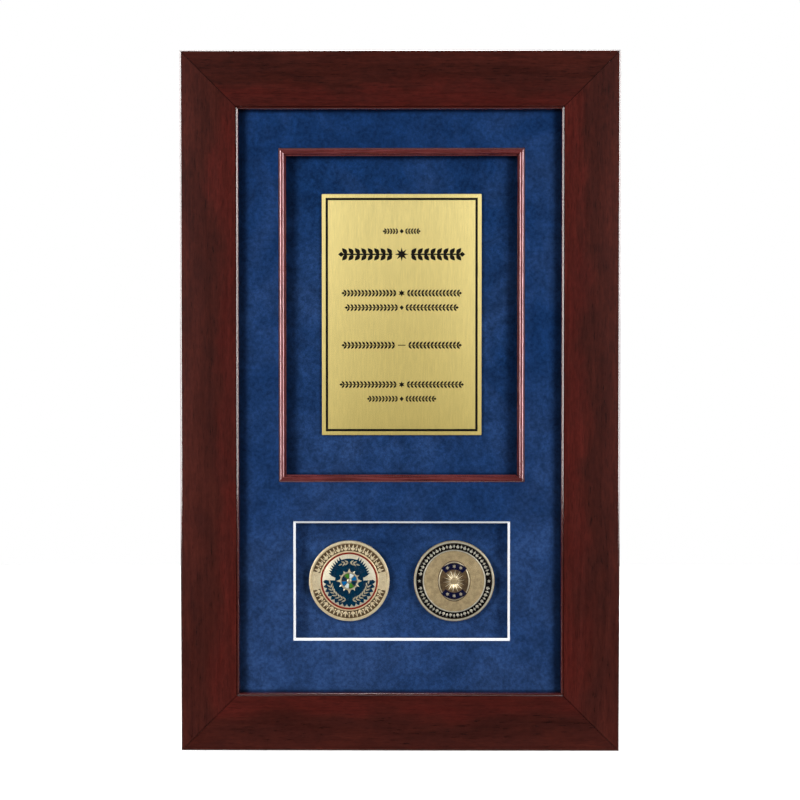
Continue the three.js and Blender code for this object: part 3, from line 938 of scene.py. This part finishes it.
def build_plate():
    """The brass plate, with its black border line and rows of engraved ornament."""
    corner = 0.5 * MM
    outline = rectangle(PLATE.low.x, PLATE.high.x, PLATE.low.z, PLATE.high.z, corner)
    show("brass_plate", cut_sheet([outline], PLATE.back, PLATE.front, 0.14 * MM), [BRASS],
         ["engraved_plate"])
    inlay_back = PLATE.front + 0.06 * MM
    inlay_front = PLATE.front - 0.012 * MM
    inset_by = 2.4 * MM
    line = 1.5 * MM
    outer = rectangle(PLATE.low.x + inset_by, PLATE.high.x - inset_by, PLATE.low.z + inset_by,
                      PLATE.high.z - inset_by)
    border = cut_sheet([outer, inset(outer, line)], inlay_back, inlay_front, 0.0)
    show("border_line", border, [INK])
    engraving = Solids()
    for height, outlines in plate_rows():
        for shape in outlines:
            placed = scaled(shape, (PLATE.centre.x, PLATE.centre.z + height * MM))
            engraving.add(*prism(placed, inlay_back, inlay_front))
    show("engraved_rows", engraving.mesh("engraved_rows"), [INK])


# ---- coins ----


class Coin:
    """Collects a coin's relief by material, in millimetres from its own centre and front face."""

    def __init__(self, node):
        self.node = node
        self.place = Place(node)
        self.centre = (self.place.centre.x, self.place.centre.z)
        self.parts = {}

    def depth(self, y):
        return self.place.front + y * MM

    def solids(self, material):
        return self.parts.setdefault(material.name, (material, Solids()))[1]

    def raise_shape(self, material, outline, foot, top, bevel):
        placed = scaled(outline, self.centre)
        self.solids(material).add(*prism(placed, self.depth(foot), self.depth(top), bevel * MM))

    def raise_ring(self, material, r0, r1, foot, top, bevel):
        ring = ring_solid(r0 * MM, r1 * MM, self.depth(foot), self.depth(top), self.centre, bevel * MM)
        self.solids(material).add(*ring)

    def raise_disc(self, material, radius, foot, top):
        """A flat round filling with a soft edge."""
        rim = 0.15
        profile = [
            (0, self.depth(top)),
            ((radius - rim) * MM, self.depth(top)),
            (radius * MM, self.depth(top + rim / 2)),
            (radius * MM, self.depth(foot)),
            (0, self.depth(foot)),
        ]
        self.solids(material).add(*lathe(profile, self.centre, COIN_SEGMENTS))

    def raise_facets(self, material, root, tip, width, foot, top, turn):
        """A star's ray: two facets that meet in a ridge, falling to the tip."""
        half = width / 2
        shoulder = root + (tip - root) * 0.12
        flat = [(root, 0), (shoulder, -half), (tip, 0), (shoulder, half), (shoulder, 0)]
        points = scaled(moved(flat, 0, 0, turn), self.centre)
        verts = [(x, self.depth(y), z) for (x, z), y in zip(points, [foot] * 4 + [top])]
        faces = [[3, 2, 1, 0], [0, 1, 4], [1, 2, 4], [2, 3, 4], [3, 0, 4]]
        self.solids(material).add(verts, faces)

    def dome(self, material, x, z, radius, foot, top):
        base = self.depth(foot + 0.05)
        curve = arc(0, self.depth(foot), radius * MM, (foot - top) * MM, -90, 0, 4)[1:]
        profile = [(0, self.depth(top)), *curve, (radius * MM, base), (0, base)]
        centre = scaled([(x, z)], self.centre)[0]
        self.solids(material).add(*lathe(profile, centre, 20))

    def blank(self, levels):
        """The coin's blank: a round-edged disc whose front steps through (radius, depth) levels."""
        radius = self.place.size.x / 2
        edge = 0.3 * MM
        soft = edge * 0.3
        front = self.place.front
        back = self.place.back
        profile = [(0, self.depth(levels[0][1])), *((r * MM, self.depth(y)) for r, y in levels)]
        profile += [(radius - edge, front), (radius - soft, front + soft), (radius, front + edge)]
        profile += [(radius, back - edge), (radius - soft, back - soft), (radius - edge, back), (0, back)]
        return lathe(profile, self.centre, COIN_SEGMENTS)

    def finish(self, levels, blank_material, slot, prefix):
        blank = one(*self.blank(levels), prefix)
        show(f"{prefix}_blank", blank, [blank_material], [self.node])
        for material, part in self.parts.values():
            name = f"{prefix}_{material.name}"
            show(name, part.mesh(name), [material])


def arc_row(coin, material, radius, height, start, end, step, kinds, foot, top):
    """Ornaments standing round an arc, in degrees from start to end."""
    count = max(1, round(abs(end - start) / step))
    width = math.radians(step) * radius
    bevel = 0.08
    inner, outer = radius - height / 2, radius + height / 2
    for k in range(count + 1):
        angle = math.radians(start + (end - start) * k / count)
        kind = kinds[min(k, count - k) % len(kinds)]
        across, up = math.cos(angle), math.sin(angle)
        small = leaf(height * 0.72, width * 0.34)
        if kind == "palmette":
            for spread in (-0.62, 0.62):
                side_leaf = moved(small, inner * across, inner * up, angle + spread)
                coin.raise_shape(material, side_leaf, foot, top + 0.06, bevel)
            shape = moved(leaf(height, width * 0.44), inner * across, inner * up, angle)
        elif kind == "drop":
            bead = 0.945 * radius
            coin.dome(material, bead * across, bead * up, height * 0.13, foot, top + 0.1)
            shape = moved(small, outer * across, outer * up, angle + math.pi)
        else:
            shape = moved(lozenge(height, width * 0.62, 0.34), radius * across, radius * up, angle)
        coin.raise_shape(material, shape, foot, top, bevel)


def branch(coin, radius, start, end, count, length, width):
    """A pale gold laurel branch along an arc: a pair of leaves at each step, and one at its tip."""
    for k in range(count + 1):
        angle = math.radians(start + (end - start) * k / count)
        heading = angle + (math.pi / 2 if end > start else -math.pi / 2)
        x, z = radius * math.cos(angle), radius * math.sin(angle)
        for spread in (-0.62, 0.62) if k < count else (0,):
            shape = moved(leaf(length, width), x, z, heading + spread)
            coin.raise_shape(PALE_GOLD, shape, 0.3, 0.04, 0.09)


def arc_band(r0, r1, start, end, steps=40):
    """An outline that follows a ring between two angles in degrees."""
    return arc(0, 0, r1, r1, start, end, steps) + arc(0, 0, r0, r0, end, start, steps)


def feathers(coin, side):
    """A fan of long pointed teal leaves on one side, the topmost the longest."""
    root = 7.2
    for k in range(8):
        angle = math.radians(90 - side * (26 + 6.5 * k))
        length = 9.4 - 0.36 * k
        shape = moved(leaf(length, 2.2), root * math.cos(angle), root * math.sin(angle), angle + side * 0.1)
        coin.raise_shape(TEAL, shape, 0.35, 0.22 - 0.012 * k, 0.05)


def medallion_fields(coin):
    """The left coin's round medallion: enamel in eight sectors, round a gold boss."""
    coin.raise_ring(PALE_GOLD, 4.9, 5.8, 0.4, -0.02, 0.16)
    coin.raise_disc(PATINA, 4.95, 0.4, 0.2)
    for k, material in enumerate((SKY, WHITE, GREEN, TEAL) * 2):
        start = 45 * k + 4
        coin.raise_shape(material, arc_band(1.7, 4.75, start, start + 37, 8), 0.3, 0.08, 0.05)
    coin.dome(PALE_GOLD, 0, 0, 1.45, 0.2, -0.2)


def build_left_coin():
    """Bright gold: an ornamented band, a red ring, and a medallion over teal leaves and a gold wreath."""
    coin = Coin("coin_left")
    levels = [(16.75, 0.42), (16.8, 0.46), (17.9, 0.46), (17.95, 0.24), (18.5, 0.24), (18.8, 0.48),
              (23.8, 0.48), (24.1, 0.0)]
    coin.raise_ring(RED, 17.0, 18.1, 0.47, 0.22, 0.02)
    coin.raise_ring(BRIGHT_GOLD, 18.1, 18.55, 0.47, 0.12, 0.1)
    coin.raise_disc(CREAM_GOLD, 16.95, 0.5, 0.3)
    coin.raise_shape(TEAL, arc_band(8.9, 14.9, 178, 362, 80), 0.35, 0.24, 0.02)
    for k in range(17):
        angle = math.radians(182 + 11 * k)
        tip = moved(leaf(3.4, 2.6), 13.2 * math.cos(angle), 13.2 * math.sin(angle), angle)
        coin.raise_shape(TEAL, tip, 0.35, 0.23, 0.02)
    coin.raise_shape(TEAL, arc_band(8.9, 14.2, 60, 120), 0.35, 0.24, 0.02)
    for side in (-1, 1):
        feathers(coin, side)
    for first, last in ((260, 190), (280, 350)):
        branch(coin, 12.2, first, last, 7, 3.2, 0.95)
    for first, last in ((93, 112), (87, 68)):
        branch(coin, 11.6, first, last, 2, 2.7, 1.0)
    coin.raise_ring(TEAL, 5.7, 8.95, 0.35, 0.24, 0.02)
    for k in range(12):
        metal_kind, tip, width = (PALE_GOLD, 7.8, 1.7) if k % 3 else (BRIGHT_GOLD, 8.6, 2.3)
        coin.raise_facets(metal_kind, 5.4, tip, width, 0.3, 0.0, TURN * k / 12)
    for start, end in ((15, 165), (195, 345)):
        coin.raise_shape(PATINA, arc_band(18.95, 23.65, start, end), 0.52, 0.43, 0.0)
        arc_row(coin, BRIGHT_GOLD, 21.3, 4.1, start + 4, end - 4, 6.4, ("palmette", "drop"), 0.46, 0.04)
    for side in (-1, 1):
        coin.raise_shape(BRIGHT_GOLD, moved(star(5, 1.5, 0.62), side * 21.3, 0), 0.5, 0.2, 0.08)
    medallion_fields(coin)
    coin.finish(levels, BRIGHT_GOLD, "gold_coin", "bright_coin")


def build_right_coin():
    """Antique gold: a black enamel ring of ornaments, and an oval sunburst between two navy bands."""
    coin = Coin("coin_right")
    levels = [(18.9, 0.42), (19.1, 0.1), (19.75, 0.1), (19.9, 0.5), (23.9, 0.5), (24.05, 0.0)]
    coin.raise_ring(BLACK, 19.85, 23.95, 0.55, 0.24, 0.02)
    for start, end in ((12, 168), (192, 348)):
        arc_row(coin, RIM_GOLD, 21.9, 2.5, start, end, 6.0, ("palmette", "lozenge"), 0.3, 0.1)
    for side in (-1, 1):
        coin.raise_shape(RIM_GOLD, moved(star(5, 1.2, 0.5), side * 21.9, 0), 0.3, 0.1, 0.06)
    coin.raise_ring(RIM_GOLD, 19.05, 19.8, 0.3, 0.0, 0.14)
    for k in range(9):
        radius = 9.9 + k
        coin.raise_ring(ANTIQUE_GOLD, radius, radius + 0.45, 0.46, 0.3, 0.1)
    coin.raise_shape(PATINA, oval(10.3, 12.9), 0.44, 0.28, 0.04)
    coin.raise_shape(PALE_GOLD, oval(9.8, 12.4), 0.44, 0.06, 0.25)
    coin.raise_shape(PATINA, oval(9.1, 11.7), 0.2, 0.05, 0.0)
    for up in (-1, 1):
        band = [(x, up * abs(z)) for x, z in arc_band(7.3, 11.3, 44, 136, 20)]
        coin.raise_shape(NAVY, band if up > 0 else band[::-1], 0.2, 0.02, 0.03)
        for x in (-4.2, 0, 4.2):
            z = up * math.sqrt(9.3 ** 2 - x * x)
            coin.raise_shape(PALE_GOLD, moved(star(6, 1.25, 0.6), x, z), 0.1, -0.08, 0.06)
    for k in range(28):
        metal_kind, tip = ((PALE_GOLD, 7.4), (ANTIQUE_GOLD, 6.2))[k % 2]
        coin.raise_facets(metal_kind, 1.9, tip, 0.8, 0.06, -0.12, TURN * (k + 0.5) / 28)
    coin.dome(ANTIQUE_GOLD, 0, 0, 1.9, 0.04, -0.06)
    coin.finish(levels, ANTIQUE_GOLD, "antique_coin", "antique_coin")
    coin_rim(coin)


def coin_rim(coin):
    """The polished raised rim of the antique coin."""
    outer = coin.place.size.x / 2 - 0.35 * MM
    ring = ring_solid(24.1 * MM, outer, coin.depth(0.3), coin.depth(-0.03), coin.centre, 0.12 * MM)
    show("antique_coin_rim", one(*ring, "antique_coin_rim"), [RIM_GOLD])


# ---- hardware on the back ----

HEAD_RISE = 1.7 * MM


def screw_mesh():
    """A cross-recessed pan-head screw, its head's underside at zero and its shank towards the front."""
    head = 3.1 * MM
    brim = 0.2 * MM
    thread = 1.25 * MM
    pitch = 0.9 * MM
    crest = 0.25 * MM
    profile = [(0, -12 * MM), (0.5 * MM, -11 * MM), (1.4 * MM, -9.5 * MM)]
    for k in range(9):
        y = -9.2 * MM + k * pitch
        profile += [(thread, y), (thread + crest, y + crest), (thread, y + 2 * crest)]
    profile += [(thread, -0.4 * MM), (1.5 * MM, 0.0), (head - brim, 0.0)]
    profile += [*arc(0, brim, head, HEAD_RISE - brim, 0, 90, 8)[:-1], (0, HEAD_RISE)]
    body = one(*lathe(profile, (0, 0), 32))
    reach = 1.75 * MM
    half = 0.42 * MM
    outline = []
    for quarter in range(4):
        outline += moved([(reach, -half), (reach, half), (half, half)], 0, 0, quarter * math.pi / 2)
    cross = one(*prism(outline, HEAD_RISE + 1 * MM, 0.75 * MM))
    return boolean(body, cross)


def build_screws():
    plain = screw_mesh()
    plain.shade_smooth()
    buttons = ("top", "upper_right", "lower_right", "bottom", "lower_left", "upper_left")
    names = [f"turn_button_screw_{name}" for name in buttons] + ["hanger_screw_left", "hanger_screw_right"]
    for count, name in enumerate(names):
        place = Place(name)
        under_head = place.back - HEAD_RISE
        mesh = plain.copy()
        spin = Matrix.Rotation(0.7 * count + 0.3, 4, "Y")
        mesh.transform(Matrix.Translation((place.centre.x, under_head, place.centre.z)) @ spin)
        show(name.replace("screw", "pan_screw"), mesh, [STEEL], [name])
    bpy.data.meshes.remove(plain)


def build_turn_buttons():
    """Stamped steel buttons: round tail on the screw, tapering to a round tip over the backing board."""
    turns = {"top": math.pi / 2, "bottom": -math.pi / 2, "upper_right": math.pi, "lower_right": math.pi,
             "upper_left": 0.0, "lower_left": 0.0}
    tail, tip, reach, hole = 4.5 * MM, 3.0 * MM, 17 * MM, 1.7 * MM
    outline = arc(0, 0, tail, tail, 90, 270, 16) + arc(reach - tip, 0, tip, tip, -90, 90, 16)
    for name, turn in turns.items():
        node = f"turn_button_{name}"
        place = Place(node)
        x, _, z = JOINTS[f"button_{name}"]["pos_m"]
        loops = [moved(loop, x, z, -turn) for loop in (outline, oval(hole, hole, 24))]
        mesh = cut_sheet(loops, place.back, place.front, 0.25 * MM)
        show(f"button_plate_{name}", mesh, [STEEL], [node], body=f"button_{name}")


def ring_path(bar_x, centre_z, depth, turn):
    """The hanging ring's centre line: straight bar, two bends and a round end."""
    half, corner, reach = 8 * MM, 2.6 * MM, 11 * MM
    straight = half - corner
    points = [(0.0, straight * k / 2) for k in range(-2, 3)]
    bend = []
    for step in range(1, 7):
        t = step / 7
        bend.append((corner * t * t, straight + corner * (2 * t - t * t)))
    points += bend
    swell = 4 / 3 * (reach - corner)
    for step in range(33):
        t = step / 32
        x = corner + 3 * swell * t * (1 - t)
        z = half * ((1 - t) ** 3 + 3 * (1 - t) ** 2 * t - 3 * (1 - t) * t * t - t ** 3)
        points.append((x, z))
    points += [(x, -z) for x, z in reversed(bend)]
    side = math.cos(turn)
    return [Vector((bar_x + side * x, depth, centre_z + side * z)) for x, z in points]


def strap_mesh(bar_x, centre_z, depth, turn):
    """A plate with a round end and a screw hole, rolled at its inner end round the ring's bar."""
    length, width, thick, neck = 20 * MM, 12 * MM, 1.2 * MM, 4 * MM
    roll, bore, ease = 2.35 * MM, 1.25 * MM, 0.2 * MM
    hole = 1.7 * MM
    half = width / 2
    flare = -2 * roll - (half - neck)
    outline = [(ease, neck), (-2 * roll, neck), (flare, half)]
    outline += arc(half - length, 0, half, half, 90, 270, 16)
    outline += [(flare, -half), (-2 * roll, -neck), (ease, -neck)]
    screw_hole = moved(oval(hole, hole, 28), 5.5 * MM - length, 0)
    plate = cut_sheet([outline, screw_hole], depth + thick, depth, ease)
    profile = [(bore, -neck), (roll - ease, -neck), (roll, ease - neck), (roll, neck - ease),
               (roll - ease, neck), (bore, neck)]
    onto_bar = Matrix.Translation((0, depth + roll, 0)) @ Matrix.Rotation(math.pi / 2, 4, "X")
    knuckle = one(*lathe(profile, (0, 0), 40, closed=True))
    knuckle.transform(onto_bar)
    bar = one(*lathe([(0, -9 * MM), (bore, -9 * MM), (bore, 9 * MM), (0, 9 * MM)], (0, 0), 40))
    bar.transform(onto_bar)
    mesh = boolean(boolean(plate, bar), knuckle, "UNION")
    mesh.transform(Matrix.Translation((bar_x, 0, centre_z)) @ Matrix.Rotation(turn, 4, "Y"))
    return mesh


def build_hangers():
    wire_radius = 1.05 * MM
    for side, turn in (("left", 0.0), ("right", math.pi)):
        bar_x, depth, centre_z = JOINTS[f"ring_{side}"]["pos_m"]
        node = f"hanger_strap_{side}"
        strap = strap_mesh(bar_x, centre_z, Place(node).front, turn)
        show(f"strap_{side}", strap, [STEEL], [node])
        wire = one(*tube(ring_path(bar_x, centre_z, depth, turn), wire_radius, 18))
        ring = f"ring_{side}"
        show(f"wire_{ring}", wire, [STEEL], [f"hanging_{ring}"], body=ring)


def build_bumpers():
    material = rubber()
    ease = 1.2 * MM
    draft = 0.3 * MM
    for side in ("left", "right"):
        place = Place(f"bumper_{side}")
        radius = place.size.x / 2
        corner = arc(radius - draft - ease, place.back - ease, ease, ease, 0, 90, 6)
        profile = [(0, place.front), (radius, place.front), *corner, (0, place.back)]
        mesh = one(*lathe(profile, (place.centre.x, place.centre.z), 48))
        show(f"rubber_bumper_{side}", mesh, [material], [f"bumper_{side}"])


# ---- studio ----

MIDDLE = Vector((0, FRONT, CENTRE_Z))
FLOOR_Z = BOTTOM_Z - 0.15
FLOOR_HALF_WIDTH = 1.1
FLOOR_NEAR = -0.15
FLOOR_FAR = 1.7
WASH_HEIGHT = 1.6


def aim(obj, target):
    obj.rotation_euler = (target - obj.location).to_track_quat("-Z", "Y").to_euler()


def build_camera():
    """Straight on, a touch above the middle, at the distance that gives the photograph's perspective."""
    data = bpy.data.cameras.new("camera")
    data.sensor_width = 36
    data.lens = 54
    data.clip_start = 0.01
    camera = link("camera", data)
    distance = 744.9 * MM
    target = MIDDLE + Vector((0, 0, 1.4 * MM))
    camera.location = target + Vector((3.6 * MM, -distance, 12.0 * MM))
    aim(camera, target)
    bpy.context.scene.camera = camera


def area_light(name, location, size, power, target, spread=180):
    data = bpy.data.lights.new(name, "AREA")
    data.shape = "RECTANGLE"
    data.size, data.size_y = size
    data.energy = power
    data.spread = math.radians(spread)
    light = link(name, data)
    light.location = location
    aim(light, target)
    light.visible_camera = False


def build_studio():
    """Tall softboxes either side, strips level with the frame, lights behind, and a wash over the floor."""
    for side in (-1, 1):
        softbox = MIDDLE + Vector((side * 0.93, -0.84, 0.20))
        area_light(f"softbox_{side}", softbox, (0.4, 0.78), 13.5, MIDDLE)
        strip = MIDDLE + Vector((side * 0.8, 0.08, 0.2))
        area_light(f"strip_{side}", strip, (0.3, 0.8), 7.5, MIDDLE + Vector((0, 0.08, 0)))
        behind = MIDDLE + Vector((side * 0.7, 1.1, 0.5))
        area_light(f"behind_{side}", behind, (0.8, 0.8), 6, MIDDLE)
    wash = Vector((0, 0.95, FLOOR_Z + WASH_HEIGHT))
    area_light("floor_wash", wash, (2.8, 2.2), 28, wash + Vector((0, 0, -1)), 40)


def build_world():
    """A dim white surround that the camera sees as plain white."""
    world = bpy.data.worlds.new("studio")
    world.use_nodes = True
    bpy.context.scene.world = world
    tree = world.node_tree
    white = rgb(1, 1, 1)
    dim = set_sockets(tree.nodes["Background"], Color=white, Strength=0.015)
    backdrop = set_sockets(tree.nodes.new("ShaderNodeBackground"), Color=white, Strength=1.0)
    seen = tree.nodes.new("ShaderNodeLightPath").outputs["Is Camera Ray"]
    mix_shaders(tree, seen, dim.outputs[0], backdrop.outputs[0], tree.nodes["World Output"])
    bpy.context.scene.view_settings.view_transform = "Standard"


def build_floor():
    """A plain pale floor, a little below the hung frame."""
    look = Look("pale_floor", Specular_IOR_Level=0.1)
    speckle = look.noise(60.0, 2.0)
    material = look.finish(look.mix(speckle, rgb(0.88, 0.88, 0.88), rgb(0.92, 0.92, 0.92)), 0.9)
    corners = rectangle(-FLOOR_HALF_WIDTH, FLOOR_HALF_WIDTH, FLOOR_NEAR, FLOOR_FAR)
    mesh = one([(x, y, FLOOR_Z) for x, y in corners], [[0, 1, 2, 3]], "floor")
    mesh.materials.append(material)
    link("floor", mesh)


build_camera()
build_rails()
build_fillet()
build_mat()
build_boards()
build_plate()
build_left_coin()
build_right_coin()
build_screws()
build_turn_buttons()
build_hangers()
build_bumpers()
dress(STEEL, *(name for name in NODES if name.startswith("v_nail")))
build_studio()
build_world()
build_floor()

bpy.context.view_layer.update()
